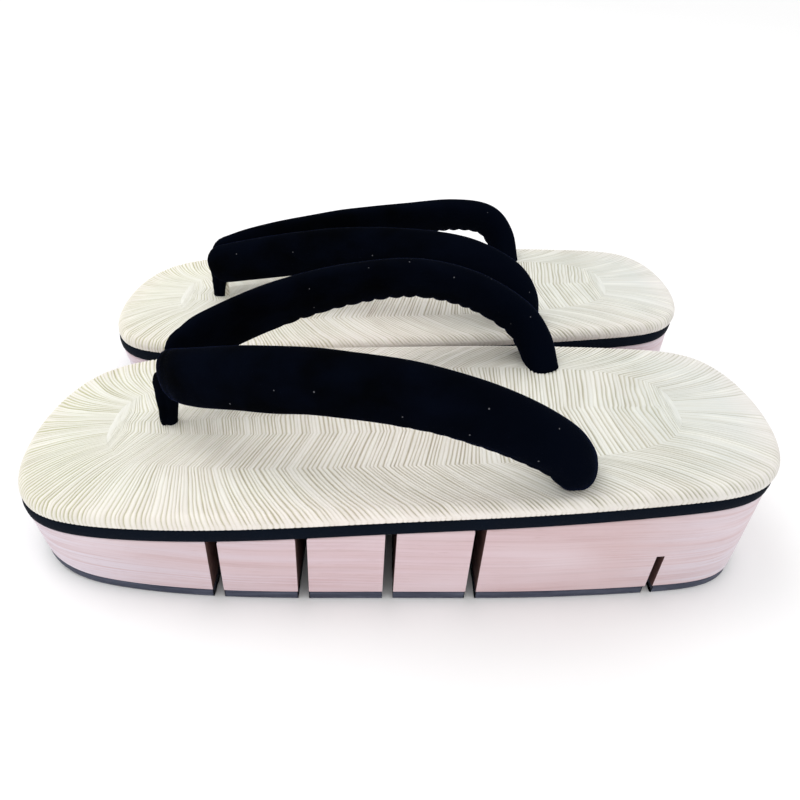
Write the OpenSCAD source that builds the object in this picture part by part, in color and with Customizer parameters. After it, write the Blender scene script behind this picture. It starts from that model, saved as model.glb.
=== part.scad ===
// A pair of split-sole thong sandals for wear around a spa or bath house.
// Each sandal is a wooden platform sawn into five blocks, hung under one springy foam sheet.
// Toes point along -X, the left sandal stands at -Y, and the floor is z = 0. Millimetres.

/* [Sandal] */
// Length of the foam sheet from toe to heel
sandal_l = 259; // [250:1:265]
// Width of one sandal at its widest
sandal_w = 101.2; // [98:0.2:106]
// Gap between the two sandals as they stand side by side
pair_gap = 1; // [0.8:0.1:10]
// Height of the foam sheet's top at the toe
toe_h = 25; // [24:0.2:27]
// Height of the foam sheet's top halfway along
mid_h = 36.3; // [35:0.2:38]
// Height of the foam sheet's top at the heel
heel_h = 45.2; // [43:0.2:47]

/* [Layers] */
// Thickness of the ridged cover that the foot stands on
cover_t = 4.9; // [4:0.1:6]
// How far the cover stands out past the foam at the toe and heel
cover_over = 1; // [0:0.1:1.5]
// Thickness of the springy foam sheet
foam_t = 5; // [4:0.1:6]
// Thickness of the rubber outsole
outsole_t = 3.5; // [3:0.1:4.5]
// How far the wood stands in from the edge of the foam
wood_inset = 0.4; // [0:0.1:1]
// How far the outsole stands in from the edge of the foam
outsole_inset = 0.7; // [0:0.1:1.5]

/* [Slots] */
// Centre of the slot nearest the toe
first_slot_x = -57; // [-60:0.5:-54]
// Distance from one slot to the next
slot_pitch = 27.7; // [26:0.1:29]
// Width of every saw slot
slot_w = 2.8; // [2.5:0.1:3.2]
// Centre of the short slot under the heel, which doesn't go right through
heel_slot_x = 88; // [80:0.5:94]
// How far up the short slot reaches from the floor
heel_slot_h = 19; // [14:0.5:24]
// Angle that each hinge can close the cover and foam above it
hinge_angle = 8; // [4:0.5:9]

/* [Strap] */
// Thickness of the velvet on the strap
velvet_t = 1; // [0.8:0.1:1.4]
// Radius of the cords inside the strap
cord_r = 1.6; // [1.2:0.1:1.8]
// Place of the toe post along the sandal
post_x = -81; // [-84:0.5:-78]
// Radius of the padded toe post
post_r = 4; // [3.6:0.1:4.6]
// Place of the strap's rear ends along the sandal
rear_x = 57; // [55:0.5:59]
// Distance of the strap's rear ends from the sandal's middle line
rear_y = 32; // [30:0.5:34]

/* [Hidden] */
SIDES = ["left", "right"];
BLOCKS = ["toe", "mid_1", "mid_2", "mid_3", "heel"];
LAYERS = ["outsole", "wood", "foam", "cover"];
STRAP = ["strap_outer_velvet", "strap_inner_velvet", "strap_outer_pad", "strap_inner_pad", "strap_cords",
         "rear_knots", "toe_post", "front_cord", "front_knot"];

half_l = sandal_l / 2;
half_w = sandal_w / 2;
sandal_y = half_w + pair_gap / 2;     // each sandal's middle line, from the middle of the pair
beyond = 2.5;                         // how far side profiles run past the outline
slots = [for (i = [0:3]) first_slot_x + i * slot_pitch];
lip = 0.15;                           // half the gap between neighbouring foam blocks at the hinge line
lean_angle = hinge_angle / 2 + 0.3;   // each side of a groove leans back by this much

// Side view: straight between these stations, on a gentle curve through the three heights
stations = concat([-half_l - beyond, -118, -108, -96, -78], slots, [52, 78, 103, half_l + beyond]);
slope = (heel_h - toe_h) / sandal_l;
crown = 2 * (heel_h + toe_h - 2 * mid_h) / pow(sandal_l, 2);
deck = [for (x = stations) [x, mid_h + slope * x + crown * x * x]];
toe_spring_x = -96;                   // the underside curves up from here to the toe
toe_spring_h = 6;
under = [for (x = stations) [x, toe_spring_h * pow(max(0, (toe_spring_x - x) / (half_l + toe_spring_x)), 2)]];

function floor_of(layer, x) = layer == 0 ? lookup(x, under)
    : layer == 1 ? lookup(x, under) + outsole_t
    : layer == 2 ? lookup(x, deck) - foam_t
    : layer == 3 ? lookup(x, deck)
    : lookup(x, deck) + cover_t;

// Plan view: a sum of sine waves. The first makes it long and round, the third squares both ends,
// the second makes the toe wider than the heel, and the rest fair the corners.
plan_waves = [57.9, 1.5, 10.35, -0.5, 2.8, -0.2, 0.8];
plan_steps = 56;
function wave_sum(u) = [for (k = [0:6]) plan_waves[k] * sin((k + 1) * u)] * [1, 1, 1, 1, 1, 1, 1];
plan_scale = half_w / max([for (i = [0:plan_steps]) wave_sum(180 * i / plan_steps)]);
function plan_point(u) = [-half_l * cos(u), -sign(u - 180) * plan_scale * wave_sum(u < 180 ? u : 360 - u)];
// The outline brought in all round, then stretched at both ends by over
function plan(inset, over = 0) = [for (i = [0:2 * plan_steps - 1]) let (p = plan_point(180 * i / plan_steps))
    [p.x * (1 - inset / half_l) * (1 + over / half_l), p.y * (1 - inset / half_w)]];

// Where a block's end stands at height z, for the slot with that number; side is 1 for the block behind it.
// Saw slots are upright. The foam and cover part in a groove that starts at the hinge line.
function hinge_z(slot) = floor_of(2, slots[slot]);
function end_x(layer, slot, side, z) = slot < 0 ? -half_l - beyond
    : slot > 3 ? half_l + beyond
    : layer < 2 ? slots[slot] + side * slot_w / 2
    : slots[slot] + side * (lip + (z - hinge_z(slot)) * tan(lean_angle));
function end_point(layer, level, slot, side) = let (
    x = slot < 0 ? -half_l : slot > 3 ? half_l : slots[slot],
    end = end_x(layer, slot, side, floor_of(level, x))
) [end, floor_of(level, end)];
function level_line(layer, level, block) = let (
    start = end_point(layer, level, block - 1, 1),
    finish = end_point(layer, level, block, -1)
) concat([start], [for (x = stations) if (x > start.x + 2 && x < finish.x - 2) [x, floor_of(level, x)]], [finish]);
function reversed(list) = [for (i = [len(list) - 1:-1:0]) list[i]];

// One block of one layer: the plan view cut by the side view
module layer_block(layer, block, inset, over = 0) {
    intersection() {
        linear_extrude(height = 2 * heel_h) polygon(plan(inset, over));
        rotate([90, 0, 0]) linear_extrude(height = 2 * sandal_w, center = true)
            polygon(concat(level_line(layer, layer, block), reversed(level_line(layer, layer + 1, block))));
    }
}

module heel_slot() {
    translate([heel_slot_x - slot_w / 2, -sandal_w, -1]) cube([slot_w, 2 * sandal_w, heel_slot_h + 1]);
}

// Holes for the strap's cords, with a wide pocket for each knot under the wood
hole_r = cord_r + 0.9;
hole_floor = 1;                       // below the wood's underside
hole_h = 60;                          // past the top of the cover
pocket_r = 9;
pocket_top = 17;
module cord_hole(at) {
    translate([at.x, at.y, hole_floor]) cylinder(h = hole_h, r = hole_r, $fn = 32);
}
module knot_pocket(at) {
    translate([at.x, at.y, hole_floor]) cylinder(h = pocket_top - hole_floor, r = pocket_r, $fn = 48);
}
post = [post_x, 0];
rears = [[rear_x, -rear_y], [rear_x, rear_y]];
module block_holes(block, pockets) {
    for (at = block == 0 ? [post] : block == 4 ? rears : []) {
        cord_hole(at);
        if (pockets) knot_pocket(at);
    }
}

module outsole(block) {
    color([0.10, 0.11, 0.15]) difference() {
        layer_block(0, block, outsole_inset);
        if (block == 4) heel_slot();
    }
}
module wood(block) {
    color([0.92, 0.83, 0.80]) difference() {
        layer_block(1, block, wood_inset);
        if (block == 4) heel_slot();
        block_holes(block, true);
    }
}
module foam(block) {
    color([0.06, 0.07, 0.10]) difference() {
        layer_block(2, block, 0);
        block_holes(block, false);
    }
}
module cover(block) {
    color([0.93, 0.91, 0.82]) difference() {
        layer_block(3, block, 0, cover_over);
        block_holes(block, false);
    }
}

// Strap arms. Each row is a place on one arm's middle line, then the strap's half width, its half
// thickness and the angle that its upper edge leans in over the foot. The other arm mirrors it.
left_arm = [
    [-77, 6.2, 58, 8.9, 4.5, 8], [-66, 14, 63, 9.4, 4.8, 13], [-44, 24, 70, 10, 5.2, 21],
    [-20, 32, 74.5, 9.8, 5.5, 28], [5, 38.5, 75.5, 9.4, 5.8, 33], [27, 41, 70.5, 9.1, 6.2, 38],
    [45, 40, 61, 8.8, 6.6, 42], [53.5, 36.5, 52.5, 8.2, 6.8, 43]];
right_arm = [
    [-80.5, 5.6, 51.8, 8.6, 4.4, 1], [-66, 9.6, 56.6, 9, 4.7, 4], [-44, 13.3, 62, 9.4, 5, 12],
    [-20, 17.5, 66.6, 9.6, 5.4, 20], [5, 23, 69.3, 9.6, 5.7, 30], [27, 29.5, 69.8, 9.2, 6.1, 38],
    [44, 34, 64.3, 8.8, 6.5, 42], [53, 35.2, 55.5, 8.2, 6.7, 43]];
arm_foot = [5.2, 5.2];        // half width and half thickness where the arm meets the cover
ring_sides = 12;
ring_steps = 2;               // rings made between one row and the next
seam_y = 0.2;                 // the two arms stop this far from the middle line
foot_heading = [0.07, 0, -1];  // the way the arm goes into the cover

function cover_top(x) = floor_of(4, x);
clear = 0.1;                   // between the strap's ends and the cover
function foot_row() = [rear_x, rear_y, cover_top(rear_x) + clear, arm_foot[0], arm_foot[1], 43];
function rows_of(side) = concat(side == "left" ? left_arm : right_arm, [foot_row()]);
function smooth(a, b, c, d, t) = 0.5 * (2 * b + (c - a) * t + (2 * a - 5 * b + 4 * c - d) * t * t
    + (3 * b - a - 3 * c + d) * t * t * t);
function arm_rows(rows) = let (last = len(rows) - 1) concat(
    [for (i = [0:last - 1]) for (j = [0:ring_steps - 1])
        smooth(rows[max(0, i - 1)], rows[i], rows[i + 1], rows[min(last, i + 2)], j / ring_steps)],
    [rows[last]]);
function place_of(row) = [row[0], row[1], row[2]];
function unit(v) = v / norm(v);
function heading(rows, i) = i == len(rows) - 1 ? foot_heading
    : unit(place_of(rows[i + 1]) - place_of(rows[max(0, i - 1)]));
// A ring round the arm at row i; shrink makes it smaller all round
function ring(rows, i, shrink) = let (
    row = rows[i],
    along = unit(heading(rows, i)),
    tall = [0, -sin(row[5]), cos(row[5])],
    up = unit(tall - (tall * along) * along),
    across = cross(along, up)
) [for (k = [0:ring_sides - 1]) let (
    a = 360 * k / ring_sides,
    p = place_of(row) + up * (row[3] - shrink) * cos(a) + across * (row[4] - shrink) * sin(a)
) [p.x, max(p.y, seam_y + shrink), p.z]];
// The cord's ring follows the same middle line at its own radius
function cord_ring(rows, i) = let (
    along = unit(heading(rows, i)),
    tall = [0, -sin(rows[i][5]), cos(rows[i][5])],
    up = unit(tall - (tall * along) * along),
    across = cross(along, up)
) [for (k = [0:ring_sides - 1]) let (a = 360 * k / ring_sides)
    place_of(rows[i]) + (up * cos(a) + across * sin(a)) * cord_r];
function flat(rings) = [for (r = rings) each r];
// A four-cornered patch as two triangles
function patch(a, b, c, d) = [[a, b, c], [a, c, d]];
function wall(first, count, inward) = [for (i = [0:count - 2]) for (k = [0:ring_sides - 1]) let (
    a = first + i * ring_sides + k,
    b = first + i * ring_sides + (k + 1) % ring_sides
) each inward ? patch(a, a + ring_sides, b + ring_sides, b) : patch(a, b, b + ring_sides, a + ring_sides)];
// A pipe between two rows of rings
module pipe(outer, inner) {
    n = len(outer);
    shift = n * ring_sides;
    last = (n - 1) * ring_sides;
    rims = [for (k = [0:ring_sides - 1]) let (m = (k + 1) % ring_sides) each concat(
        patch(k, k + shift, m + shift, m), patch(last + m, last + m + shift, last + k + shift, last + k))];
    polyhedron(points = concat(flat(outer), flat(inner)),
        faces = concat(wall(0, n, false), wall(shift, n, true), rims), convexity = 6);
}
// A solid rod through one row of rings
module rod(outer) {
    n = len(outer);
    last = (n - 1) * ring_sides;
    caps = [for (k = [1:ring_sides - 2]) each [[0, k + 1, k], [last, last + k, last + k + 1]]];
    polyhedron(points = flat(outer), faces = concat(wall(0, n, false), caps), convexity = 6);
}
function arm_rings(side, shrink) = let (rows = arm_rows(rows_of(side)))
    [for (i = [0:len(rows) - 1]) ring(rows, i, shrink)];
function cord_rings(side) = let (rows = arm_rows(rows_of(side)))
    [for (i = [0:len(rows) - 1]) cord_ring(rows, i)];
module both_arms() {
    children();
    mirror([0, 1, 0]) children();
}

// The outer arm is on the little-toe side, which is away from the other sandal
module on_arm(side, which) {
    if ((side == "left") == (which == "outer")) mirror([0, 1, 0]) children();
    else children();
}
module strap_velvet(side) {
    color([0.02, 0.02, 0.04]) pipe(arm_rings(side, 0), arm_rings(side, velvet_t));
}
module strap_pad(side) {
    color([0.80, 0.78, 0.72]) pipe(arm_rings(side, velvet_t), cord_rings(side));
}
module strap_cords(side) {
    color([0.88, 0.86, 0.80]) both_arms() rod(cord_rings(side));
}

// A stopper knot pulled up against the roof of its pocket, with its cord up to height top
knot_ring_r = 3.2;
knot_tube_r = 3;
knot_tail = 6;
knot_drop = 4.2;               // from the pocket's roof to the knot's middle
module knot(top) {
    knot_z = pocket_top - knot_drop;
    translate([0, 0, knot_z]) rotate_extrude($fn = 32) {
        translate([knot_ring_r, 0]) circle(r = knot_tube_r, $fn = 24);
        translate([0, -knot_tail]) square([cord_r, knot_tail]);
        translate([0, -knot_tube_r]) square([knot_ring_r, 2 * knot_tube_r]);
    }
    translate([0, 0, knot_z]) cylinder(h = top - knot_z, r = cord_r, $fn = 24);
}
module rear_knots() {
    color([0.88, 0.86, 0.80]) for (at = rears)
        translate([at.x, at.y, 0]) knot(cover_top(rear_x) - 0.2);
}

// The toe post: a padded velvet tube over the front cord, up to the point of the strap
function post_top(side) = let (row = rows_of(side)[0]) row[2] - row[3] - 0.4;
module toe_post(side) {
    base = cover_top(post_x + post_r) + clear;
    top = post_top(side);
    color([0.02, 0.02, 0.04]) translate([post_x, 0, base]) difference() {
        cylinder(h = top - base, r = post_r, $fn = 40);
        translate([0, 0, -1]) cylinder(h = top - base + 2, r = cord_r + 0.05, $fn = 32);
    }
}
front_split = pocket_top + 3;  // the front cord is joined to its knot here
module front_cord(side) {
    color([0.88, 0.86, 0.80]) translate([post_x, 0, front_split])
        cylinder(h = post_top(side) - front_split, r = cord_r, $fn = 24);
}
module front_knot() {
    color([0.88, 0.86, 0.80]) translate([post_x, 0, 0]) knot(front_split);
}

module place(side) {
    translate([0, side == "left" ? -sandal_y : sandal_y, 0]) children();
}

for (side = SIDES) place(side) {
    for (b = [0:4]) {
        cover(b);
        foam(b);
        wood(b);
        outsole(b);
    }
    for (arm = ["outer", "inner"]) {
        on_arm(side, arm) strap_velvet(side);
        on_arm(side, arm) strap_pad(side);
    }
    strap_cords(side);
    rear_knots();
    toe_post(side);
    front_cord(side);
    front_knot();
}
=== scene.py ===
import math

import bpy
import numpy as np
from mathutils import Matrix, Vector


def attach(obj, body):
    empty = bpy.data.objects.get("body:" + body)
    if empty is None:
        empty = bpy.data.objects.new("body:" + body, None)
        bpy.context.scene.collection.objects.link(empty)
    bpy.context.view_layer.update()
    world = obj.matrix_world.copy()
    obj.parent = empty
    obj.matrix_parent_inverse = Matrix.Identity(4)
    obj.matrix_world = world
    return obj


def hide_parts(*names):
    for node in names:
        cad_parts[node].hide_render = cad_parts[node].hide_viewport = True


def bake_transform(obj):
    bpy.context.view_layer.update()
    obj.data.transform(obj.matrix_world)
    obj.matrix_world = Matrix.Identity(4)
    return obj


# A pair of split-sole thong sandals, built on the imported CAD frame. Shapes are worked out in
# millimetres in one sandal's own frame (toe at -X, floor at z = 0), then moved to their place.

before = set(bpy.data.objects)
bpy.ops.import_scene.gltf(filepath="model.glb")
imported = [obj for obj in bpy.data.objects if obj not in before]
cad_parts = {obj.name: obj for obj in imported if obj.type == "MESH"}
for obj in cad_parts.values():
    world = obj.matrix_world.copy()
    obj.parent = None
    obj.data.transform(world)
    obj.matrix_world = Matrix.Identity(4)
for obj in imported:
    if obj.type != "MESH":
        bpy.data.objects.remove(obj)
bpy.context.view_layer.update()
scene = bpy.context.scene

# ---------------------------------------------------------------- sizes shared with part.scad

MM = 0.001
SIDES = ("left", "right")
SANDAL_Y = {"left": -51.1, "right": 51.1}
HALF_L, HALF_W = 129.5, 50.6
TOE_H, MID_H, HEEL_H = 25.0, 36.3, 45.2
COVER_T, FOAM_T, OUTSOLE_T = 4.9, 5.0, 3.5
COVER_OVER = 0.8              # how far the cover stands past the foam at the heel
WOOD_INSET, OUTSOLE_INSET = 0.4, 0.7
SLOTS = [-57.0, -29.3, -1.6, 26.1]      # where the wood is sawn through
SLOT_W = 2.8
HEEL_SLOT_X, HEEL_SLOT_TOP = 88.0, 19.0
POST_X = -81.0
REAR_X, REAR_Y = 57.0, 32.0             # where the strap's arms go down
PLAN_WAVES = [57.9, 1.5, 10.35, -0.5, 2.8, -0.2, 0.8]   # the sine terms of the plan's half width
BLOCKS = ["toe", "mid_1", "mid_2", "mid_3", "heel"]
TOE_SPRING_X, TOE_SPRING_H = -96.0, 6.0
FOAM_GAP, WOOD_GAP = 0.05, 0.04         # foam and wood stop this far below what lies on them


def deck(x):
    """Height of the foam's top."""
    slope = (HEEL_H - TOE_H) / (2 * HALF_L)
    crown = 2 * (HEEL_H + TOE_H - 2 * MID_H) / (2 * HALF_L) ** 2
    return MID_H + slope * x + crown * x * x


def under(x):
    """Height of the outsole's underside, which curves up at the toe."""
    reach = np.maximum(0, (TOE_SPRING_X - x) / (HALF_L + TOE_SPRING_X))
    return TOE_SPRING_H * reach ** 2


def wave_sum(u):
    """Half width of the plan, before it is scaled, at an angle from the toe's tip to the heel's."""
    return sum(w * np.sin((k + 1) * u) for k, w in enumerate(PLAN_WAVES))


def smoothstep(t):
    """0 up to t = 0, 1 from t = 1, and a smooth rise between."""
    t = np.clip(t, 0, 1)
    return t * t * (3 - 2 * t)


def running_length(x, y):
    """Length along a line of points, from its first."""
    return np.concatenate([[0], np.cumsum(np.hypot(np.diff(x), np.diff(y)))])


# The plan outline from the toe's tip to the heel's, round the +Y side, with its outward normals
FINE = 4001                  # points along an outline
rim_u = np.linspace(0, math.pi, FINE)
rim_x = -HALF_L * np.cos(rim_u)
rim_y = wave_sum(rim_u) * HALF_W / wave_sum(rim_u).max()
rim_a = running_length(rim_x, rim_y)
rim_dx, rim_dy = np.gradient(rim_x, rim_a), np.gradient(rim_y, rim_a)
rim_dx[[0, -1]], rim_dy[0], rim_dy[-1] = 0, 1, -1
rim_nx, rim_ny = -rim_dy / np.hypot(rim_dx, rim_dy), rim_dx / np.hypot(rim_dx, rim_dy)


def soft_field(rng, rows, cols, row_step, col_step):
    """Smooth random values from -1 to 1 on a grid, changing over so many rows and columns."""
    coarse = rng.uniform(-1, 1, (int(rows / row_step) + 3, int(cols / col_step) + 3))
    r, c = np.arange(rows) / row_step, np.arange(cols) / col_step
    r0, c0 = r.astype(int), c.astype(int)
    fr, fc = smoothstep(r - r0)[:, None], smoothstep(c - c0)[None, :]
    low = coarse[r0][:, c0] * (1 - fc) + coarse[r0][:, c0 + 1] * fc
    high = coarse[r0 + 1][:, c0] * (1 - fc) + coarse[r0 + 1][:, c0 + 1] * fc
    return low * (1 - fr) + high * fr


# ---------------------------------------------------------------- meshes

def grid_faces(rows, cols, wrap=False):
    """Faces between the points of a grid stored row by row; wrap closes it across the columns."""
    r, c = np.meshgrid(np.arange(rows - 1), np.arange(cols if wrap else cols - 1), indexing="ij")
    nxt = (c + 1) % cols
    return np.stack([r * cols + c, r * cols + nxt, (r + 1) * cols + nxt, (r + 1) * cols + c],
                    -1).reshape(-1, 4)


def face_normals(points, faces):
    """Normals as long as twice each face's area."""
    p = points[faces]
    return np.cross(p[:, 2] - p[:, 0], p[:, 3] - p[:, 1])


def weld(points, faces, values):
    """Joins points in the same place and drops faces that close up."""
    _, first, index = np.unique(np.round(points, 3), axis=0, return_index=True, return_inverse=True)
    faces = index.reshape(-1)[faces]
    kept = [tuple(dict.fromkeys(f)) for f in faces.tolist()]
    kept = [f if len(f) == 4 else f + (f[0],) for f in kept if len(f) > 2]
    return points[first], np.array(kept), {k: v[first] for k, v in values.items()}


def vertex_normals(points, faces):
    """Normals that lean to the larger faces, so that a narrow bevel reads as a crisp rounded edge."""
    normals = np.zeros_like(points)
    facing = face_normals(points, faces)
    for corner in range(4):
        fresh = np.ones(len(faces), bool) if corner < 3 else faces[:, 3] != faces[:, 0]
        np.add.at(normals, faces[fresh, corner], facing[fresh])
    return normals / np.maximum(np.linalg.norm(normals, axis=1), 1e-9)[:, None]


def make_piece(name, side, points, faces, material, values=None, normals=None):
    """A Blender mesh from points in millimetres in one sandal's frame. A face is four corners,
    or three and the first again. Only the points that the faces use are kept."""
    used, index = np.unique(faces, return_inverse=True)
    polygons = [tuple(dict.fromkeys(f)) for f in index.reshape(-1, 4).tolist()]
    placed = (points[used] + [0, SANDAL_Y[side], 0]) * MM
    mesh = bpy.data.meshes.new(name)
    mesh.from_pydata(placed.tolist(), [], polygons)
    mesh.validate()               # drops the few doubled faces that welding leaves at the tips
    for key, value in (values or {}).items():
        kind = "FLOAT" if value.ndim == 1 else "FLOAT_VECTOR"
        attribute = mesh.attributes.new(key, kind, "POINT")
        field = "value" if value.ndim == 1 else "vector"
        attribute.data.foreach_set(field, value[used].astype(np.float32).ravel())
    mesh.materials.append(material)
    mesh.shade_smooth()
    if normals is not None:
        mesh.normals_split_custom_set_from_vertices(normals[used].tolist())
    piece = bpy.data.objects.new(name, mesh)
    scene.collection.objects.link(piece)
    return piece


# Soft sheets cross the four hinges, so each is made as four strips that meet midway between them
STRIP_ENDS = [(SLOTS[k] + SLOTS[k + 1]) / 2 for k in range(3)]


def make_strips(name, side, points, faces, material, values, replaced):
    """Splits one mesh into four pieces, each across one hinge, which keep the whole mesh's normals."""
    normals = vertex_normals(points, faces)
    middle = points[faces][:, :3, 0].mean(1)
    strip_of = np.searchsorted(STRIP_ENDS, middle)
    pieces = []
    for k in range(4):
        piece = make_piece(f"{side}_{name}_{k + 1}", side, points, faces[strip_of == k], material,
                           values, normals)
        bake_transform(piece)
        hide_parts(*[f"{side}_{n}" for n in replaced[k]])
        pieces.append(piece)
    return pieces


# ---------------------------------------------------------------- materials

def paint(red, green, blue):
    """A colour given as on a screen, 0 to 255, as the shader wants it."""
    linear = [c / 255 / 12.92 if c <= 10 else ((c / 255 + 0.055) / 1.055) ** 2.4
              for c in (red, green, blue)]
    return (*linear, 1.0)


def new_material(name, roughness, specular):
    material = bpy.data.materials.new(name)
    material.use_nodes = True
    shader = material.node_tree.nodes["Principled BSDF"]
    shader.inputs["Roughness"].default_value = roughness
    shader.inputs["Specular IOR Level"].default_value = specular
    return material, material.node_tree, shader


def put(tree, node, key, value):
    """Joins an input to a socket, or sets it to a constant."""
    if isinstance(value, bpy.types.NodeSocket):
        tree.links.new(value, node.inputs[key])
    else:
        node.inputs[key].default_value = value


def add(tree, kind, inputs=None, **settings):
    """A node with its settings and its inputs."""
    node = tree.nodes.new("ShaderNode" + kind)
    for key, value in settings.items():
        setattr(node, key, value)
    for key, value in (inputs or {}).items():
        put(tree, node, key, value)
    return node


def mix(tree, share, a, b):
    """Colour a, with this share of colour b."""
    return add(tree, "Mix", {0: share, 6: a, 7: b}, data_type="RGBA").outputs[2]


def sums(tree, how, a, b=0.0, clamp=False):
    return add(tree, "Math", {0: a, 1: b}, operation=how, use_clamp=clamp).outputs[0]


def spread(tree, value, low, high, to_low=0.0, to_high=1.0):
    """Maps low..high to to_low..to_high, and holds the ends."""
    return add(tree, "MapRange", {"Value": value, "From Min": low, "From Max": high,
                                  "To Min": to_low, "To Max": to_high}).outputs[0]


def ramp(tree, value, stops):
    """A colour that changes with value, through (place, colour) stops."""
    node = add(tree, "ValToRGB", {"Fac": value})
    elements = node.color_ramp.elements
    while len(elements) < len(stops):
        elements.new(0.5)
    for element, (place, colour) in zip(elements, stops):
        element.position, element.color = place, colour
    return node.outputs[0]


def stretched(tree, vector, scale):
    return add(tree, "Mapping", {"Vector": vector, "Scale": scale}).outputs[0]


def noise(tree, vector, scale, detail=2.0, rough=0.5):
    return add(tree, "TexNoise", {"Vector": vector, "Scale": scale, "Detail": detail,
                                  "Roughness": rough}).outputs["Fac"]


def bump(tree, shader, height, strength, distance, after=None):
    """A bump on the shader, laid over another one if that is given."""
    inputs = {"Height": height, "Strength": strength, "Distance": distance}
    if after:
        inputs["Normal"] = after
    out = add(tree, "Bump", inputs).outputs[0]
    tree.links.new(out, shader.inputs["Normal"])
    return out


def own_place(tree):
    return add(tree, "TexCoord").outputs["Object"]


def named(tree, name, output="Fac"):
    """A value that the mesh carries under this name."""
    return add(tree, "Attribute", attribute_name=name).outputs[output]


def cover_material():
    """Ivory moulding: fine fibres along each ridge, warmer and greener in the grooves, which are also
    painted darker as shade.
    """
    material, tree, shader = new_material("ridged_cover", 0.58, 0.35)
    place = own_place(tree)
    along_x = add(tree, "SeparateXYZ", {0: place}).outputs[0]
    weave = named(tree, "weave", "Vector")
    fibre = noise(tree, stretched(tree, weave, (2.6, 0.10, 1)), 1.0, 3.0, 0.6)
    patch = noise(tree, place, 22.0, 2.0)
    groove = named(tree, "groove")
    # Colour of the ridge tops along the length: painted lighter in the middle to offset the strap's shade
    # there, and darker towards the heel.
    crest_tone_and_painted_light = ramp(tree, spread(tree, along_x, -HALF_L * MM, HALF_L * MM), [
        (0.0, paint(231, 232, 223)), (0.22, paint(240, 238, 230)), (0.5, paint(254, 249, 242)),
        (0.7, paint(238, 238, 231)), (0.85, paint(216, 218, 212)), (1.0, paint(216, 219, 217))])
    # Colour in the grooves: warmer and greener, and darker as painted shade in the grooves, a little less
    # dark in the middle to offset the strap's shade.
    deep = ramp(tree, spread(tree, along_x, -HALF_L * MM, HALF_L * MM), [
        (0.0, paint(203, 203, 164)), (0.2, paint(200, 196, 166)), (0.45, paint(207, 198, 178)),
        (0.8, paint(186, 184, 163)), (1.0, paint(192, 193, 178))])
    # Near the foot of the wall the ridge tops are painted pinkish, a painted reflection of the wood below.
    from_foot = add(tree, "SeparateXYZ", {0: weave}).outputs[1]
    crest_tone_and_painted_light = mix(tree, spread(tree, from_foot, 2.0, 14.0, 0.40, 0.0), crest_tone_and_painted_light, paint(240, 227, 222))
    # The grooves take that colour: partly their own tone, partly painted shade.
    colour = mix(tree, spread(tree, groove, 0.0, 0.62), crest_tone_and_painted_light, deep)
    colour = mix(tree, spread(tree, fibre, 0.40, 0.8, 0.0, 0.22), colour, paint(216, 210, 196))
    colour = mix(tree, spread(tree, patch, 0.45, 0.75, 0.0, 0.22), colour, paint(230, 219, 212))
    tint = named(tree, "tint")
    colour = mix(tree, spread(tree, tint, 0.0, 1.0, 0.0, 0.35), colour, paint(250, 248, 238))
    colour = mix(tree, spread(tree, tint, 0.0, -1.0, 0.0, 0.30), colour, paint(216, 211, 196))
    put(tree, shader, "Base Color", colour)
    put(tree, shader, "Roughness", spread(tree, fibre, 0.3, 0.7, 0.50, 0.68))
    bump(tree, shader, fibre, 0.35, 0.00012)
    return material


def foam_material():
    """Matt black-blue closed-cell foam."""
    material, tree, shader = new_material("black_foam", 0.85, 0.03)
    place = own_place(tree)
    cells = add(tree, "TexVoronoi", {"Vector": place, "Scale": 1800.0}).outputs["Distance"]
    cloud = noise(tree, place, 60.0, 3.0)
    put(tree, shader, "Base Color", mix(tree, cloud, paint(7, 12, 21), paint(15, 23, 35)))
    put(tree, shader, "Roughness", spread(tree, cloud, 0.3, 0.7, 0.62, 0.80))
    bump(tree, shader, cells, 0.35, 0.0002)
    return material


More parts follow.
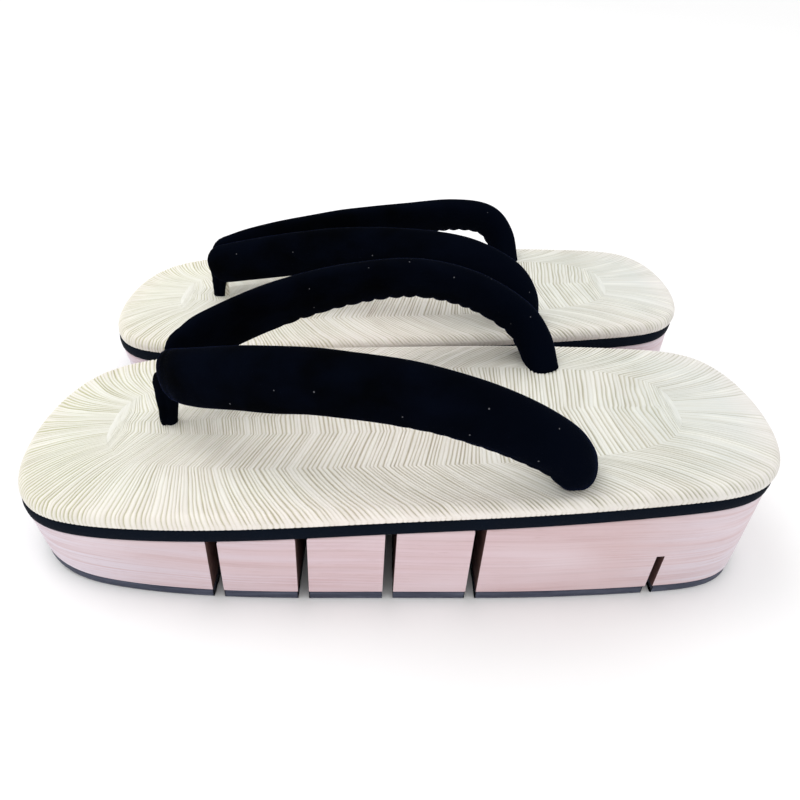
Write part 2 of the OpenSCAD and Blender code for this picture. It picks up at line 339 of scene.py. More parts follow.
def wood_material():
    """Bare, very pale pinkish wood, its grain along X, paler at both ends as painted highlight, with the
    cut faces in the slots dark brown, partly end grain and partly painted shade.
    """
    material, tree, shader = new_material("pale_wood", 0.6, 0.3)
    coords = add(tree, "TexCoord")
    place, facing = coords.outputs["Object"], coords.outputs["Normal"]
    bend = noise(tree, stretched(tree, place, (8, 20, 20)), 1.0, 2.0)
    lift = add(tree, "CombineXYZ", {2: spread(tree, bend, 0, 1, -0.004, 0.004)}).outputs[0]
    warped = add(tree, "VectorMath", {0: place, 1: lift}, operation="ADD").outputs[0]
    rings = noise(tree, stretched(tree, warped, (7, 22, 260)), 1.0, 3.0, 0.6)
    lines = noise(tree, stretched(tree, warped, (11, 60, 1100)), 1.0, 3.0, 0.7)
    pores = noise(tree, stretched(tree, place, (150, 900, 2600)), 1.0, 2.0, 0.7)
    streaks = noise(tree, stretched(tree, warped, (6, 30, 480)), 1.0, 4.0, 0.65)
    cloud = noise(tree, stretched(tree, place, (16, 20, 40)), 1.0, 2.0)
    inside = add(tree, "SeparateXYZ", {0: place}).outputs[0]
    # The wood's pinkish tone along its length; the paler, bluish ends are painted highlight.
    wood_tone_and_end_highlight = ramp(tree, spread(tree, inside, -HALF_L * MM, HALF_L * MM), [
        (0.0, paint(226, 223, 238)), (0.08, paint(221, 214, 225)), (0.2, paint(212, 198, 206)),
        (0.42, paint(220, 198, 205)), (0.62, paint(218, 193, 198)), (0.78, paint(213, 190, 193)),
        (0.89, paint(216, 206, 215)), (1.0, paint(225, 220, 230))])
    colour = mix(tree, spread(tree, rings, 0.36, 0.66, 0.0, 0.65), wood_tone_and_end_highlight, paint(209, 180, 181))
    colour = mix(tree, spread(tree, lines, 0.48, 0.68, 0.0, 0.55), colour, paint(194, 164, 165))
    colour = mix(tree, spread(tree, streaks, 0.57, 0.72, 0.0, 0.60), colour, paint(197, 154, 153))
    colour = mix(tree, spread(tree, pores, 0.58, 0.74, 0.0, 0.35), colour, paint(186, 152, 150))
    colour = mix(tree, spread(tree, cloud, 0.48, 0.72, 0.0, 0.55), colour, paint(228, 213, 219))
    # The cut faces in the slots are painted dark brown: partly end grain, partly painted shade inside the
    # narrow slots.
    split = add(tree, "SeparateXYZ", {0: facing}).outputs[0]
    cut = sums(tree, "MULTIPLY", spread(tree, sums(tree, "ABSOLUTE", split), 0.72, 0.96),
               spread(tree, sums(tree, "ABSOLUTE", inside), 0.100, 0.096))
    end_grain = noise(tree, stretched(tree, place, (40, 500, 700)), 1.0, 4.0, 0.7)
    sawn = mix(tree, end_grain, paint(124, 92, 87), paint(76, 55, 53))
    put(tree, shader, "Base Color", mix(tree, cut, colour, sawn))
    put(tree, shader, "Roughness", spread(tree, rings, 0.3, 0.7, 0.52, 0.68))
    first = bump(tree, shader, lines, 0.20, 0.0001)
    bump(tree, shader, pores, 0.25, 0.0001, first)
    return material


def rubber_material():
    """Dark slate rubber with a faint moulded grain and scuffs."""
    material, tree, shader = new_material("outsole_rubber", 0.6, 0.2)
    place = own_place(tree)
    grain = noise(tree, place, 1500.0, 2.0)
    scuff = noise(tree, stretched(tree, place, (60, 220, 900)), 1.0, 4.0, 0.65)
    colour = mix(tree, spread(tree, scuff, 0.42, 0.75), paint(58, 62, 78), paint(88, 93, 109))
    put(tree, shader, "Base Color", colour)
    put(tree, shader, "Roughness", spread(tree, scuff, 0.35, 0.7, 0.48, 0.72))
    bump(tree, shader, grain, 0.35, 0.00015)
    return material


def velvet_material():
    """Near-black velvet with a bluish pile and a few flecks of lint."""
    material, tree, shader = new_material("strap_velvet", 0.95, 0.01)
    place = own_place(tree)
    pile = noise(tree, place, 2600.0, 3.0, 0.7)
    brushed = noise(tree, stretched(tree, place, (60, 90, 90)), 1.0, 3.0)
    along_x = add(tree, "SeparateXYZ", {0: place}).outputs[0]
    rearward = spread(tree, along_x, 0.0, (REAR_X + 5) * MM)
    deep = mix(tree, rearward, paint(2, 3, 6), paint(3, 7, 18))
    colour = mix(tree, spread(tree, brushed, 0.35, 0.7), deep, paint(4, 7, 17))
    cells = add(tree, "TexVoronoi", {"Vector": place, "Scale": 200.0})
    chance = add(tree, "SeparateXYZ", {0: cells.outputs["Color"]}).outputs[0]
    fleck = sums(tree, "MULTIPLY", spread(tree, cells.outputs["Distance"], 0.060, 0.040),
                 spread(tree, chance, 0.50, 0.51), clamp=True)
    put(tree, shader, "Base Color", mix(tree, sums(tree, "MULTIPLY", fleck, 0.35), colour,
                                        paint(150, 150, 156)))
    shader.inputs["Sheen Weight"].default_value = 0.28
    shader.inputs["Sheen Roughness"].default_value = 0.12
    shader.inputs["Sheen Tint"].default_value = paint(70, 92, 170)
    first = bump(tree, shader, pile, 0.5, 0.00025)
    bump(tree, shader, brushed, 0.25, 0.0006, first)
    return material


def cord_material():
    """Pale twisted cord."""
    material, tree, shader = new_material("strap_cord", 0.85, 0.2)
    place = own_place(tree)
    twist = add(tree, "TexWave", {"Vector": place, "Scale": 260.0, "Distortion": 1.5},
                bands_direction="DIAGONAL").outputs["Fac"]
    put(tree, shader, "Base Color", mix(tree, twist, paint(196, 190, 174), paint(232, 228, 214)))
    bump(tree, shader, twist, 0.5, 0.0003)
    return material


COVER, FOAM, WOOD = cover_material(), foam_material(), wood_material()
RUBBER, VELVET, CORD = rubber_material(), velvet_material(), cord_material()

# ---------------------------------------------------------------- the ridged cover

RIDGES = 200                 # from the toe's tip to the heel's, on each side
RIDGE_SHARES = [0, 0.09, 0.25, 0.5, 0.75, 0.91]   # where each ridge's columns of points stand
RIDGE_DEPTH = 0.52
ROLL_R = 3.2                 # the rim rolls over at this radius
ROLL_ANGLES = [90, 72, 54, 38, 24, 12, 0]
RAY_STEPS = 15               # from the rim to the edge of the middle band
KINK = 0.64                  # share of the way in to the middle line where the ridges turn
BAND_STEPS = (9, 5)          # rows before and after that turn
BAND_X = (-101.5, 98.5)      # ends of the middle band
BAND_HALF, BAND_POWER = 29.0, 3.2
FOOT_TUCK = 0.3              # the foot of the cover's wall stands in by this much
FOOT_LIFT = 0.05             # and starts this far above the deck
DOME = 0.6                   # the cover swells this much towards its middle
DIP, DIP_REACH = 0.7, 7.5    # and dips where the strap goes through it
SMOOTH_OVER = 221            # points of the rim that the spread of the rays is evened out over
COVER_SEEDS = {"left": 11, "right": 23}

# Where a ridge leaves the rim, for each place along the middle band's edge that it runs to
BAND_TO_RIM = [(-101.5, -129.5), (-100.5, -126.5), (-97, -116), (-91, -103), (-84, -89), (-77, -76),
               (-60, -51), (-44, -31), (-9, 7.5), (20, 39.5), (34, 56), (52, 78), (70, 98.5),
               (84, 111.5), (92, 119), (97, 125.5), (98.5, 129.5)]


def band_edge():
    """The middle band's edge, a squared oval, as x, y and running length."""
    t = np.linspace(0, math.pi, FINE)
    centre, half = sum(BAND_X) / 2, (BAND_X[1] - BAND_X[0]) / 2
    x = centre - half * np.sign(np.cos(t)) * np.abs(np.cos(t)) ** (2 / BAND_POWER)
    y = BAND_HALF * np.abs(np.sin(t)) ** (2 / BAND_POWER)
    return x, y, running_length(x, y)


def cover_lines():
    """Rows of points for every place along the rim: the +Y half, from the wall's foot to the
    middle line. Returns x, y, roll angle, share of the dome and distance along the ridge."""
    band_x, band_y, band_a = band_edge()
    knots = np.array(BAND_TO_RIM, float)
    rim_knots = np.interp(knots[:, 1], rim_x, rim_a)
    band_knots = np.interp(knots[:, 0], band_x, band_a)
    rate = np.gradient(np.interp(rim_a, rim_knots, band_knots), rim_a)
    window = np.hanning(SMOOTH_OVER)
    rate = np.convolve(np.pad(rate, SMOOTH_OVER // 2, mode="edge"), window / window.sum(), "valid")
    band_at = np.concatenate([[0], np.cumsum((rate[1:] + rate[:-1]) / 2 * np.diff(rim_a))])
    band_at *= band_a[-1] / band_at[-1]
    edge_x, edge_y = np.interp(band_at, band_a, band_x), np.interp(band_at, band_a, band_y)

    # Rays run nearly straight along the middle and swing round to meet the rim at both ends
    start_x, start_y = rim_x - ROLL_R * rim_nx, rim_y - ROLL_R * rim_ny
    bow = smoothstep((edge_x - 10) / 50) + smoothstep((-62 - edge_x) / 25)
    turn_x = edge_x + (0.42 + 0.23 * bow) * (start_x - edge_x)
    turn_y = edge_y + (0.54 - 0.20 * bow) * (start_y - edge_y)
    # Ridges go on over the rolled rim at the slant they reach it with
    out_x, out_y = start_x - turn_x, start_y - turn_y
    slant = (out_x * rim_dx + out_y * rim_dy) / np.maximum(out_x * rim_nx + out_y * rim_ny, 1)
    slant = np.clip(slant, -1.1, 1.1) * smoothstep(rim_a / 14) * smoothstep((rim_a[-1] - rim_a) / 14)
    rows = []
    roll = [(90.0, FOOT_TUCK, COVER_T)]      # angle, mm in from the rim and length back to the top
    for angle in ROLL_ANGLES:
        turned = math.radians(angle)
        roll.append((angle, ROLL_R * (1 - math.sin(turned)), ROLL_R * turned))
    for angle, inset, length in roll:
        at = rim_a + 0.8 * slant * length
        x, y = rim_x - inset * rim_nx, rim_y - inset * rim_ny
        rows.append((np.interp(at, rim_a, x), np.interp(at, rim_a, y), angle, 0.0))
    for t in np.linspace(0, 1, RAY_STEPS + 1)[1:]:
        rows.append(((1 - t) ** 2 * start_x + 2 * t * (1 - t) * turn_x + t * t * edge_x,
                     (1 - t) ** 2 * start_y + 2 * t * (1 - t) * turn_y + t * t * edge_y,
                     0.0, float(smoothstep(t))))
    # In the band the ridges lean, turning back after the kink, and by the heel they lean the other way
    heelward = smoothstep((edge_x - 10) / 40)
    fade = smoothstep((edge_x - BAND_X[0]) / 12) * smoothstep((BAND_X[1] - edge_x) / 12)
    shares = np.concatenate([np.linspace(0, KINK, BAND_STEPS[0] + 1)[1:],
                             np.linspace(KINK, 1, BAND_STEPS[1] + 1)[1:]])
    for share in shares:
        toe_shift = np.interp(share, [0, KINK, 1], [0, 1, 0.7])
        toe_shift = toe_shift * np.interp(edge_x, [-80, -30, 0], [9, 6, 4])
        shift = fade * ((1 - heelward) * toe_shift - heelward * 3.5 * share)
        rows.append((edge_x + shift, edge_y * (1 - share), 0.0, 1.0))
    x, y = np.array([r[0] for r in rows]), np.array([r[1] for r in rows])
    x *= 1 + COVER_OVER / HALF_L * (x > 0)
    angles, dome = np.array([r[2] for r in rows]), np.array([r[3] for r in rows])
    along = np.concatenate([np.zeros((1, x.shape[1])),
                            np.cumsum(np.hypot(np.diff(x, axis=0), np.diff(y, axis=0)), 0)])
    return x, y, angles, dome, along


LINES = cover_lines()


def on_rows(lines, places):
    """Each row's line at that row's places, which are lengths along the rim."""
    return np.array([np.interp(place, rim_a, line) for line, place in zip(lines, places)])


def wandering_edges(rng, starts):
    """Where each ridge begins along the rim, row by row. The edges wander a little, more in the
    toe's fan and by the heel, and by no more than a share of the ridge."""
    line_x, line_y = LINES[:2]
    rows = len(line_x)
    widths = np.diff(starts)
    edge_x, edge_y = on_rows(line_x, [starts] * rows), on_rows(line_y, [starts] * rows)
    loose = 0.28 + 0.3 * smoothstep((-85 - edge_x) / 25)
    loose *= 1 + 2.0 * np.exp(-((edge_x - 90) ** 2 + edge_y ** 2) / 13 ** 2)
    wander = soft_field(rng, rows, RIDGES + 1, 3.5, 0.9) * 0.7 + soft_field(rng, rows, RIDGES + 1, 9, 4)
    wander *= loose * np.linspace(0.3, 1, 6)[np.minimum(np.arange(rows), 5)][:, None]
    wander[-1] = 0
    wander[:, [0, -1]] = 0
    limit = 0.3 * np.minimum(np.concatenate([[1], widths]), np.concatenate([widths, [1]]))
    return starts + np.clip(wander, -limit, limit)


def room_for_grooves(edges, ridge, x, y):
    """From 0 to 1, by how far apart the grooves really are, square to the ridge."""
    line_x, line_y = LINES[:2]
    step_x, step_y = np.gradient(x, axis=0), np.gradient(y, axis=0)
    step = np.maximum(np.hypot(step_x, step_y), 1e-6)
    across_x = on_rows(line_x, edges[:, ridge + 1]) - on_rows(line_x, edges[:, ridge])
    across_y = on_rows(line_y, edges[:, ridge + 1]) - on_rows(line_y, edges[:, ridge])
    pitch = np.abs(across_x * step_y - across_y * step_x) / step
    return smoothstep((pitch - 0.15) / 0.75)


def groove_strength(rng, half, ridge, share, place, x, y):
    """How strong each groove is: uneven from one to the next, and different from region to region."""
    rows = len(x)
    strength = rng.uniform(0.6, 1.2, RIDGES + 1)
    strength[rng.random(RIDGES + 1) < 0.12] = 0.35
    nearest = np.where(share < 0.5, ridge, ridge + 1)
    strength = strength[nearest] * (1 + 0.3 * soft_field(rng, rows, RIDGES + 1, 5, 1)[:, nearest])
    strength = strength * (1 - 0.35 * smoothstep((-50 - x) / 25) + 0.45 * smoothstep((-92 - x) / 12))
    smooth_heel = smoothstep((x - 88) / 16) * (1 if half > 0 else smoothstep((30 - y) / 14))
    strength = strength * (1 - 0.45 * smooth_heel)
    # A smooth wedge runs in from the heel's tip, and the grooves fade towards the wall's foot
    wedge = 9 if half > 0 else 6
    strength = strength * (0.3 + 0.7 * smoothstep((rim_a[-1] - place) / wedge - 0.3))
    return strength * np.interp(np.arange(rows), [0, 1, 3, 5], [0.35, 0.75, 0.95, 1.0])[:, None]


def cover_half(rng, half, starts):
    """Points and values of one half of the cover, row by row; half is 1 for +Y and -1 for -Y."""
    line_x, line_y, angles, dome, along = LINES
    rows = len(angles)
    ridge = np.concatenate([np.repeat(np.arange(RIDGES), len(RIDGE_SHARES)), [RIDGES - 1]])
    share = np.concatenate([np.tile(RIDGE_SHARES, RIDGES), [1.0]])
    edges = wandering_edges(rng, starts)
    place = edges[:, ridge] * (1 - share) + edges[:, ridge + 1] * share
    x, y, run = on_rows(line_x, place), on_rows(line_y, place), on_rows(along, place)
    normal_x, normal_y = np.interp(place, rim_a, rim_nx), np.interp(place, rim_a, rim_ny)

    groove = groove_strength(rng, half, ridge, share, place, x, y)
    groove = np.abs(2 * share - 1) ** 3 * groove * room_for_grooves(edges, ridge, x, y)
    depth = RIDGE_DEPTH * groove

    # Rolled rim, dome and the slight dips where the strap goes through
    lean = np.radians(angles)[:, None]
    z = deck(x) + COVER_T - ROLL_R * (1 - np.cos(lean)) + DOME * dome[:, None]
    for hole_x, hole_y in ((POST_X, 0.0), (REAR_X, REAR_Y)):
        z = z - DIP * np.exp(-((x - hole_x) ** 2 + (y - hole_y) ** 2) / DIP_REACH ** 2)
    x, y = x - depth * np.sin(lean) * normal_x, y - depth * np.sin(lean) * normal_y
    z = z - depth * np.cos(lean)
    z[0] = deck(x[0]) + FOOT_LIFT
    tint = np.repeat(rng.uniform(-1, 1, RIDGES + 1)[None, ridge], rows, 0) * 0.6
    tint += 0.5 * soft_field(rng, rows, RIDGES + 1, 4, 2)[:, ridge]
    weave = np.stack([place, run, np.full_like(run, 7.0 * half)], -1)
    return np.stack([x, y * half, z], -1), {"groove": np.clip(groove, 0, 1), "tint": tint, "weave": weave}


def make_cover(side):
    """One cover with its grooves, rolled rim and flat underside, in four strips."""
    rng = np.random.default_rng(COVER_SEEDS[side])
    widths = rng.uniform(0.75, 1.25, RIDGES)
    starts = np.concatenate([[0], np.cumsum(widths)]) * rim_a[-1] / widths.sum()
    near, near_values = cover_half(rng, -1, starts)
    far, far_values = cover_half(rng, 1, starts)
    rows, cols = near.shape[:2]

    def both(a, b):
        """The near half's rows, then the far half's from the middle line outwards."""
        return np.concatenate([a, b[-2::-1]]).reshape(-1, *a.shape[2:])

    points = both(near, far)
    values = {k: both(near_values[k], far_values[k]) for k in near_values}
    faces = grid_faces(2 * rows - 1, cols)[:, ::-1]
    # The underside joins the foot of one wall to the foot of the other, on points of its own
    foot = np.concatenate([np.arange(cols), (2 * rows - 2) * cols + np.arange(cols)])
    first = len(points)
    bottom = points[foot] + [0, 0, -0.002]
    i = first + np.arange(cols - 1)
    below = np.stack([i, i + 1, i + cols + 1, i + cols], -1)[:, ::-1]
    points = np.concatenate([points, bottom])
    values = {k: np.concatenate([v, v[foot]]) for k, v in values.items()}
    points, faces, values = weld(points, np.concatenate([faces, below]), values)
    return make_strips("cover", side, points, faces, COVER, values, [
        ["cover_toe"], ["cover_mid_1"], ["cover_mid_2"], ["cover_mid_3", "cover_heel"]])


# ---------------------------------------------------------------- foam, wood and outsole

TIP_ANGLE = 0.03             # the outline stops this short of the sandal's own tips, in radians
CUT_STEP = 0.4               # mm from a cut to the outline's next point


def plan_loop(start, end, spacing):
    """The plan outline between two cuts, anticlockwise from above, and how many points a side has.
    None for a cut means the sandal's own tip there."""
    low = TIP_ANGLE if start is None else float(np.interp(start, rim_x, rim_u))
    high = math.pi - TIP_ANGLE if end is None else float(np.interp(end, rim_x, rim_u))
    from_a, to_a = np.interp([low, high], rim_u, rim_a)
    a = np.linspace(from_a, to_a, max(3, int((to_a - from_a) / spacing) + 1))
    extra = [from_a + CUT_STEP] * (start is not None) + [to_a - CUT_STEP] * (end is not None)
    a = np.sort(np.concatenate([a, extra]))
    x, y = np.interp(a, rim_a, rim_x), np.interp(a, rim_a, rim_y)
    return np.concatenate([np.stack([x, -y], 1), np.stack([x, y], 1)[::-1]]), len(a)


def inward(loop):
    """For each corner of a loop, the move that brings both of its edges in by one."""
    edge = np.roll(loop, -1, 0) - loop
    edge /= np.linalg.norm(edge, axis=1)[:, None]
    normal = np.stack([-edge[:, 1], edge[:, 0]], 1)
    both = normal + np.roll(normal, 1, 0)
    return both / (1 + (normal * np.roll(normal, 1, 0)).sum(1))[:, None]


def slab(start, end, low, high, levels, spacing=2.0, inset=0.0, taper=(0.0, 0.0)):
    """A slab between two height functions. levels are (share of the height, mm in from the edge).
    taper draws the toe's tip in, in mm, at the bottom and at the top. The caps are rows between
    the two sides."""
    loop, side_count = plan_loop(start, end, spacing)
    step = inward(loop)
    count = len(loop)
    rings = []
    for share, extra in levels:
        flat = loop + step * (inset + extra)
        x = flat[:, 0]
        x += (taper[0] + share * (taper[1] - taper[0])) * smoothstep((-70 - x) / 55)
        rings.append(np.column_stack([flat, low(x) + share * (high(x) - low(x))]))
    points = np.concatenate(rings)
    walls = grid_faces(len(levels), count, wrap=True)
    i = np.arange(side_count - 1)
    cap = np.stack([i, i + 1, count - 2 - i, count - 1 - i], -1)
    return points, np.concatenate([walls, cap[:, ::-1], cap + (len(levels) - 1) * count])


def foam_low(x):
    """Height of the foam's underside, where the wood's top is."""
    return deck(x) - FOAM_T


def wood_low(x):
    """Height of the wood's underside, where the outsole's top is."""
    return under(x) + OUTSOLE_T


# Edge profiles from bottom to top: share of the height, and mm in from the edge
FOAM_LEVELS = [(0, 0.9), (0.03, 0.35), (0.14, 0.05), (0.5, -0.15), (0.86, 0.05), (0.97, 0.35), (1, 0.9)]
WOOD_LEVELS = [(0, 0.7), (0.012, 0.2), (0.03, 0), (0.5, 0), (0.97, 0), (0.988, 0.2), (1, 0.6)]
SOLE_LEVELS = [(0, 0.7), (0.07, 0.2), (0.2, 0), (0.85, 0), (1, 0.25)]
TOE_TAPER = 2.4              # the wood and outsole stand in this much more under the toe
BLOCK_SPACING = 2.5          # between the points round a block
SHARP_FROM = 40              # degrees; sharper edges of the sawn heel block stay crisp


def make_foam(side):
    points, faces = slab(None, None, foam_low, deck, FOAM_LEVELS)
    points[:, 2] -= FOAM_GAP * (points[:, 2] >= deck(points[:, 0]) - 0.01)
    make_strips("foam", side, points, faces, FOAM, {}, [
        ["foam_toe"], ["foam_mid_1"], ["foam_mid_2"], ["foam_mid_3", "foam_heel"]])


def block_ends(b):
    """The X of a block's two sawn ends, or None at the sandal's own tips."""
    return (None if b == 0 else SLOTS[b - 1] + SLOT_W / 2, None if b == 4 else SLOTS[b] - SLOT_W / 2)


def saw_out(piece, side, x, top):
    """Cuts a short slot right across a block, from below up to a height."""
    half_high, half_deep = (top + 5) / 2, 80
    centre = (x * MM, SANDAL_Y[side] * MM, (top - half_high) * MM)
    bpy.ops.mesh.primitive_cube_add(size=2, location=centre)
    saw = bpy.context.object
    saw.scale = (SLOT_W / 2 * MM, half_deep * MM, half_high * MM)
    cutter = piece.modifiers.new("slot", "BOOLEAN")
    cutter.operation, cutter.solver, cutter.object = "DIFFERENCE", "EXACT", saw
    bpy.context.view_layer.update()
    mesh = bpy.data.meshes.new_from_object(piece.evaluated_get(bpy.context.evaluated_depsgraph_get()))
    piece.modifiers.clear()
    piece.data = mesh
    bpy.data.objects.remove(saw)
    mesh.set_sharp_from_angle(angle=math.radians(SHARP_FROM))


def make_blocks(side):
    for b, block in enumerate(BLOCKS):
        start, end = block_ends(b)
        points, faces = slab(start, end, wood_low, foam_low, WOOD_LEVELS, BLOCK_SPACING,
                             WOOD_INSET, (TOE_TAPER, 0.0))
        points[:, 2] -= WOOD_GAP * (points[:, 2] >= foam_low(points[:, 0]) - 0.01)
        # The heel block is sawn afterwards, so its normals are left to Blender
        shading = None if block == "heel" else vertex_normals(points, faces)
        wood = make_piece(f"{side}_wood_block_{block}", side, points, faces, WOOD,
                          normals=shading)
        if block == "heel":
            saw_out(wood, side, HEEL_SLOT_X, HEEL_SLOT_TOP)
        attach(wood, f"{side}_{block}")
        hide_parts(f"{side}_wood_{block}")
        make_outsole(side, block, start, end)


def make_outsole(side, block, start, end):
    """The rubber under one block, in two parts where the heel's short slot cuts it."""
    cuts = [(start, end)]
    if block == "heel":
        cuts = [(start, HEEL_SLOT_X - SLOT_W / 2), (HEEL_SLOT_X + SLOT_W / 2, None)]
    all_points, all_faces, count = [], [], 0
    for low_x, high_x in cuts:
        points, faces = slab(low_x, high_x, under, wood_low, SOLE_LEVELS, BLOCK_SPACING,
                             OUTSOLE_INSET, (TOE_TAPER, TOE_TAPER))
        all_points.append(points)
        all_faces.append(faces + count)
        count += len(points)
    points, faces = np.concatenate(all_points), np.concatenate(all_faces)
    sole = make_piece(f"{side}_outsole_piece_{block}", side, points, faces, RUBBER,
                      normals=vertex_normals(points, faces))
    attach(sole, f"{side}_{block}")
    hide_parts(f"{side}_outsole_{block}")


# ---------------------------------------------------------------- the padded strap

# Rows on one arm's middle line: x, distance from the sandal's middle, height, half width, half
# thickness, and the angle that the upper edge leans in over the foot
ARM_ROWS = {
    "left": [(-73, 8.4, 59.6, 9.1, 4.6, 9), (-66, 14, 63, 9.5, 4.8, 13), (-44, 24, 70, 10.1, 5.2, 21),
             (-20, 32, 74.5, 9.9, 5.5, 28), (5, 38.5, 75.5, 9.5, 5.8, 33), (27, 41, 70.5, 9.2, 6.2, 38),
             (45, 40, 61, 8.8, 6.6, 42), (53, 37.2, 52.3, 8.6, 6.8, 43.8),
             (56.8, 29.5, 43.5, 6.9, 6.3, 44.4)],
    "right": [(-78.4, 6.1, 52.6, 8.6, 4.4, 1), (-66, 9.6, 56.6, 9, 4.7, 4), (-44, 13.3, 62, 9.4, 5, 12),
              (-20, 17.5, 66.6, 9.6, 5.4, 20), (5, 23, 69.3, 9.6, 5.7, 30), (27, 29.5, 69.8, 9.2, 6.1, 38),
              (44, 34, 64.3, 8.8, 6.5, 42), (52.6, 35, 55, 8.5, 6.7, 43), (56.5, 30.5, 44, 6.9, 6.3, 44)]}
ARM_SIDES = 44               # points round the arm
ARM_STEP = 0.85              # from one ring to the next
ARM_POWER = 2.25             # squareness of its section
FRONT_CAP, REAR_CAP = 8.5, 3.0          # how far the rounded ends reach past the rows
CAP_SHARES = [0.3, 0.55, 0.74, 0.87, 0.95, 0.99]
GATHER_DEPTH, GATHER_AT = 1.4, 132   # the velvet is drawn in along the inner lower edge, in degrees
PUFF = (4.6, 7.4)            # shortest and longest puff between two tucks
# The right sandal's far arm is flatter on top, then bends down more sharply, further out: x and mm
FLATTER_DROP = [(-80, 0.4), (-66, 1.0), (-44, 1.8), (-20, 2.6), (5, 3.0), (20, 3.1), (34, 2.2),
                (46, 0.4), (57, 0)]
FLATTER_OUT = [(20, 0), (44, 1.2), (53, 0.6)]


def smooth_rows(rows, step):
    """Catmull-Rom stations through the rows, evenly spaced along the middle line."""
    rows = np.array(rows, float)
    ends = np.concatenate([[2 * rows[0] - rows[1]], rows, [2 * rows[-1] - rows[-2]]])
    out = []
    for a, b, c, d in zip(ends, ends[1:], ends[2:], ends[3:]):
        t = np.linspace(0, 1, 60, endpoint=False)[:, None]
        out.append(0.5 * (2 * b + (c - a) * t + (2 * a - 5 * b + 4 * c - d) * t ** 2
                          + (3 * b - a - 3 * c + d) * t ** 3))
    dense = np.concatenate(out + [rows[-1:]])
    run = np.concatenate([[0], np.cumsum(np.linalg.norm(np.diff(dense[:, :3], axis=0), axis=1))])
    even = np.linspace(0, run[-1], int(run[-1] / step) + 1)
    return np.stack([np.interp(even, run, dense[:, k]) for k in range(6)], 1), even


def unit(v):
    return v / np.linalg.norm(v, axis=-1, keepdims=True)


def tucks(rng, run, start, end):
    """How deep each place lies in the gathers: 0 on top of a puff, 1 in the notch between two."""
    marks = [start]
    while marks[-1] < end:
        marks.append(marks[-1] + rng.uniform(*PUFF))
    marks = np.array(marks)
    place = np.clip(np.searchsorted(marks, run) - 1, 0, len(marks) - 2)
    within = (run - marks[place]) / (marks[place + 1] - marks[place])
    depth = 1 - np.abs(np.sin(np.pi * np.clip(within, 0, 1))) ** 0.55
    size = rng.uniform(0.55, 1.15, len(marks))
    depth *= np.where(within < 0.5, size[place], size[np.minimum(place + 1, len(marks) - 1)])
    return depth * smoothstep((run - start) / 14) * smoothstep((end - run) / 10)


def arm_mesh(rng, rows):
    """One padded arm on the +Y side, as rings from its front cap to its rear end."""
    stations, run = smooth_rows(rows, ARM_STEP)
    centre, lean = stations[:, :3], np.radians(stations[:, 5])
    along = unit(np.gradient(centre, axis=0))
    tall = np.stack([np.zeros_like(lean), -np.sin(lean), np.cos(lean)], 1)
    up = unit(tall - (tall * along).sum(1, keepdims=True) * along)
    across = np.cross(along, up)
    angle = np.linspace(0, 2 * np.pi, ARM_SIDES, endpoint=False)
    c, s = np.cos(angle), np.sin(angle)
    shape_c = np.sign(c) * np.abs(c) ** (2 / ARM_POWER)
    shape_s = np.sign(s) * np.abs(s) ** (2 / ARM_POWER) * np.where(s > 0, 0.86, 1.1)
    wide, thick = stations[:, 3:4], stations[:, 4:5]
    # Gathers where the velvet is drawn in round the curve, a seam underneath and soft unevenness
    near_fold = np.exp(-((np.degrees(angle) - GATHER_AT) / 31) ** 2)
    pulled = GATHER_DEPTH * tucks(rng, run, 28, run[-1] - 8)[:, None] * near_fold
    seam = 0.3 * np.exp(-((np.degrees(angle) - 186) / 7) ** 2) * smoothstep((run[:, None] - 12) / 20)
    uneven = 0.22 * soft_field(rng, len(run), ARM_SIDES + 1, 16, 6)[:, :-1]
    uneven *= 1 - 0.6 * (np.cos(angle) > 0.2)
    swell = 1 - (pulled + seam - uneven) / 7.5

    def ring(k, scale):
        """The section at station k, drawn in by a scale."""
        section = up[k] * wide[k] * shape_c[:, None] + across[k] * thick[k] * shape_s[:, None]
        return centre[k] + section * (swell[k] * scale)[:, None]

    rings = []
    for share in CAP_SHARES[::-1]:
        scale = (1 - share ** 2) ** (1 / 2)
        rings.append(ring(0, scale) - along[0] * FRONT_CAP * share)
    rings += [ring(k, 1.0) for k in range(len(run))]
    for share in CAP_SHARES:
        scale = (1 - share ** 2.8) ** (1 / 2.8)
        rings.append(ring(-1, scale) + along[-1] * REAR_CAP * share)
    first, last = centre[0] - along[0] * FRONT_CAP, centre[-1] + along[-1] * REAR_CAP
    points = np.concatenate(rings + [[first], [last]])
    count = len(rings)
    faces = grid_faces(count, ARM_SIDES, wrap=True)[:, ::-1]
    k = np.arange(ARM_SIDES)
    nxt = (k + 1) % ARM_SIDES
    front, back = len(points) - 2, len(points) - 1
    base = (count - 1) * ARM_SIDES
    tips = [np.stack([np.full_like(k, front), k, nxt, np.full_like(k, front)], 1)[:, ::-1],
            np.stack([np.full_like(k, back), base + nxt, base + k, np.full_like(k, back)], 1)[:, ::-1]]
    return points, np.concatenate([faces] + tips)


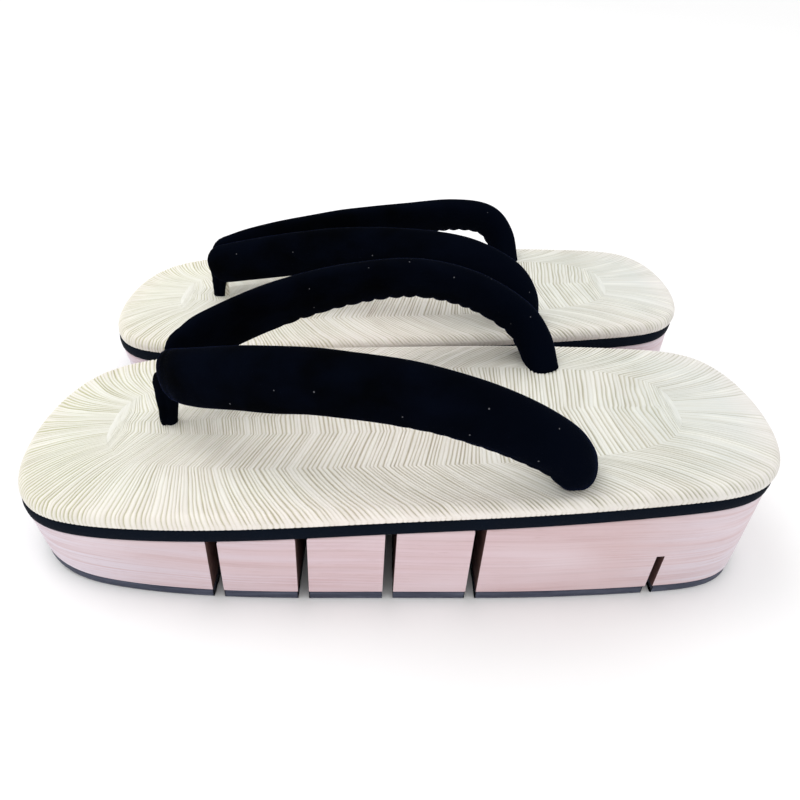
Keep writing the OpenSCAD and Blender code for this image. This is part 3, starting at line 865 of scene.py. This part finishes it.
def make_arm(side, which, seed):
    """One arm in four strips; the left's outer and the right's inner one are on the -Y side."""
    rng = np.random.default_rng(seed)
    rows = np.array(ARM_ROWS[side], float)
    if (side, which) == ("right", "outer"):
        rows[:, 2] -= np.interp(rows[:, 0], *np.transpose(FLATTER_DROP))
        rows[:, 1] += np.interp(rows[:, 0], *np.transpose(FLATTER_OUT))
    points, faces = arm_mesh(rng, rows)
    if (side == "left") == (which == "outer"):
        points, faces = points * [1, -1, 1], faces[:, ::-1]
    stands_for = [f"strap_{which}_velvet", f"strap_{which}_pad", "strap_cords"]
    for piece in make_strips(f"strap_{which}", side, points, faces, VELVET, {},
                             [stands_for] * 4):
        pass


# The toe post is a velvet strip folded in two, which leaves a crease down each side.
# Its rows are x, half length, half width and height over the cover.
POST_ROWS = [(-81.3, 2.9, 2.7, -1.5), (-81.2, 3.1, 2.9, 1.5), (-80.9, 3.4, 3.0, 5), (-80.5, 3.8, 3.2, 9),
             (-80.2, 4.0, 3.4, 13), (-80.0, 4.2, 3.6, 17), (-79.8, 3.6, 3.2, 20)]
POST_MOVE = {"left": 0.0, "right": -2.4}       # the right one leans nearer the toe
POST_DROP = {"left": 0.0, "right": 5.0}        # and its strap is lower
POST_RINGS, POST_SIDES = 44, 40
POST_CREASES = (94, 266)                       # degrees
POST_SEEDS = {"left": 5, "right": 6}


def make_post(side):
    rng = np.random.default_rng(POST_SEEDS[side])
    rows = np.array(POST_ROWS)
    height = np.linspace(rows[0, 3], rows[-1, 3] - POST_DROP[side], POST_RINGS)
    x, wide, deep = [np.interp(height, rows[:, 3], rows[:, k]) for k in range(3)]
    angle = np.linspace(0, 2 * np.pi, POST_SIDES, endpoint=False)
    crease = sum(np.exp(-((np.degrees(angle) - a) / 17) ** 2) for a in POST_CREASES)
    lumps = 0.35 * soft_field(rng, POST_RINGS, POST_SIDES + 1, 5, 5)[:, :-1] * (0.5 - 0.5 * np.cos(angle))
    swell = 1 - 0.26 * crease + lumps / 4
    base = deck(POST_X) + COVER_T
    points = np.stack([x[:, None] + POST_MOVE[side] + wide[:, None] * np.cos(angle) * swell,
                       deep[:, None] * np.sin(angle) * swell,
                       base + np.repeat(height[:, None], POST_SIDES, 1)], -1).reshape(-1, 3)
    walls = grid_faces(POST_RINGS, POST_SIDES, wrap=True)
    i = np.arange(POST_SIDES // 2 - 1)
    cap = np.stack([i, i + 1, POST_SIDES - 2 - i, POST_SIDES - 1 - i], -1)
    faces = np.concatenate([walls, cap[:, ::-1], cap + (POST_RINGS - 1) * POST_SIDES])
    post = make_piece(f"{side}_toe_post_fold", side, points, faces, VELVET,
                      normals=vertex_normals(points, faces))
    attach(post, f"{side}_toe")
    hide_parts(f"{side}_toe_post")


# ---------------------------------------------------------------- build both sandals

for number, side in enumerate(SIDES):
    make_cover(side)
    make_foam(side)
    make_blocks(side)
    make_arm(side, "outer", 40 + number)
    make_arm(side, "inner", 50 + number)
    make_post(side)
    for name in ("rear_knots", "front_cord", "front_knot"):
        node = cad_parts[f"{side}_{name}"]
        for place in node.material_slots:
            place.material = CORD

# ---------------------------------------------------------------- floor, light and camera

FLOOR_SIZE = 12.0            # m


def floor_material():
    """Plain, nearly white."""
    material, tree, shader = new_material("studio_floor", 0.9, 0.1)
    cloud = noise(tree, own_place(tree), 0.8, 1.0)
    put(tree, shader, "Base Color", mix(tree, cloud, (0.96, 0.96, 0.96, 1), (0.98, 0.98, 0.98, 1)))
    return material


bpy.ops.mesh.primitive_plane_add(size=FLOOR_SIZE)
floor = bpy.context.object
floor.name = "floor"
floor.data.materials.append(floor_material())


def area_light(name, place, aim, size, power):
    """A round soft light, in metres and watts."""
    data = bpy.data.lights.new(name, "AREA")
    data.shape, data.size, data.energy = "DISK", size, power
    lamp = bpy.data.objects.new(name, data)
    scene.collection.objects.link(lamp)
    lamp.location = place
    direction = Vector(aim) - Vector(place)
    lamp.rotation_euler = direction.to_track_quat("-Z", "Y").to_euler()


area_light("key", place=(-0.7, 0.3, 1.5), aim=(0, 0, 0.04), size=1.0, power=7.0)
world = bpy.data.worlds.new("studio")
world.use_nodes = True
world.node_tree.nodes["Background"].inputs["Color"].default_value = (1.0, 1.0, 1.0, 1)
world.node_tree.nodes["Background"].inputs["Strength"].default_value = 1.0
scene.world = world
scene.view_settings.view_transform = "Standard"

# The camera that was fitted to the photo
CAMERA_AT = (-8.557, -243.79, 181.993)      # mm in the pair's frame
YAW, PITCH, ROLL = 0.0511, 0.6409, 0.0657   # radians
LENS, SENSOR, SHIFT_Y = 30.065, 36.0, 0.0265
forward = np.array([math.sin(YAW) * math.cos(PITCH), math.cos(YAW) * math.cos(PITCH), -math.sin(PITCH)])
level = np.array([math.cos(YAW), -math.sin(YAW), 0])
upward = np.cross(level, forward)
right = level * math.cos(ROLL) + upward * math.sin(ROLL)
top = upward * math.cos(ROLL) - level * math.sin(ROLL)
lens = bpy.data.cameras.new("camera")
lens.lens, lens.sensor_width, lens.shift_y = LENS, SENSOR, SHIFT_Y
lens.clip_start, lens.clip_end = 0.01, 50.0
camera = bpy.data.objects.new("camera", lens)
scene.collection.objects.link(camera)
turn = Matrix([list(row) for row in np.column_stack([right, top, -forward])]).to_4x4()
camera.matrix_world = Matrix.Translation([c * MM for c in CAMERA_AT]) @ turn
scene.camera = camera
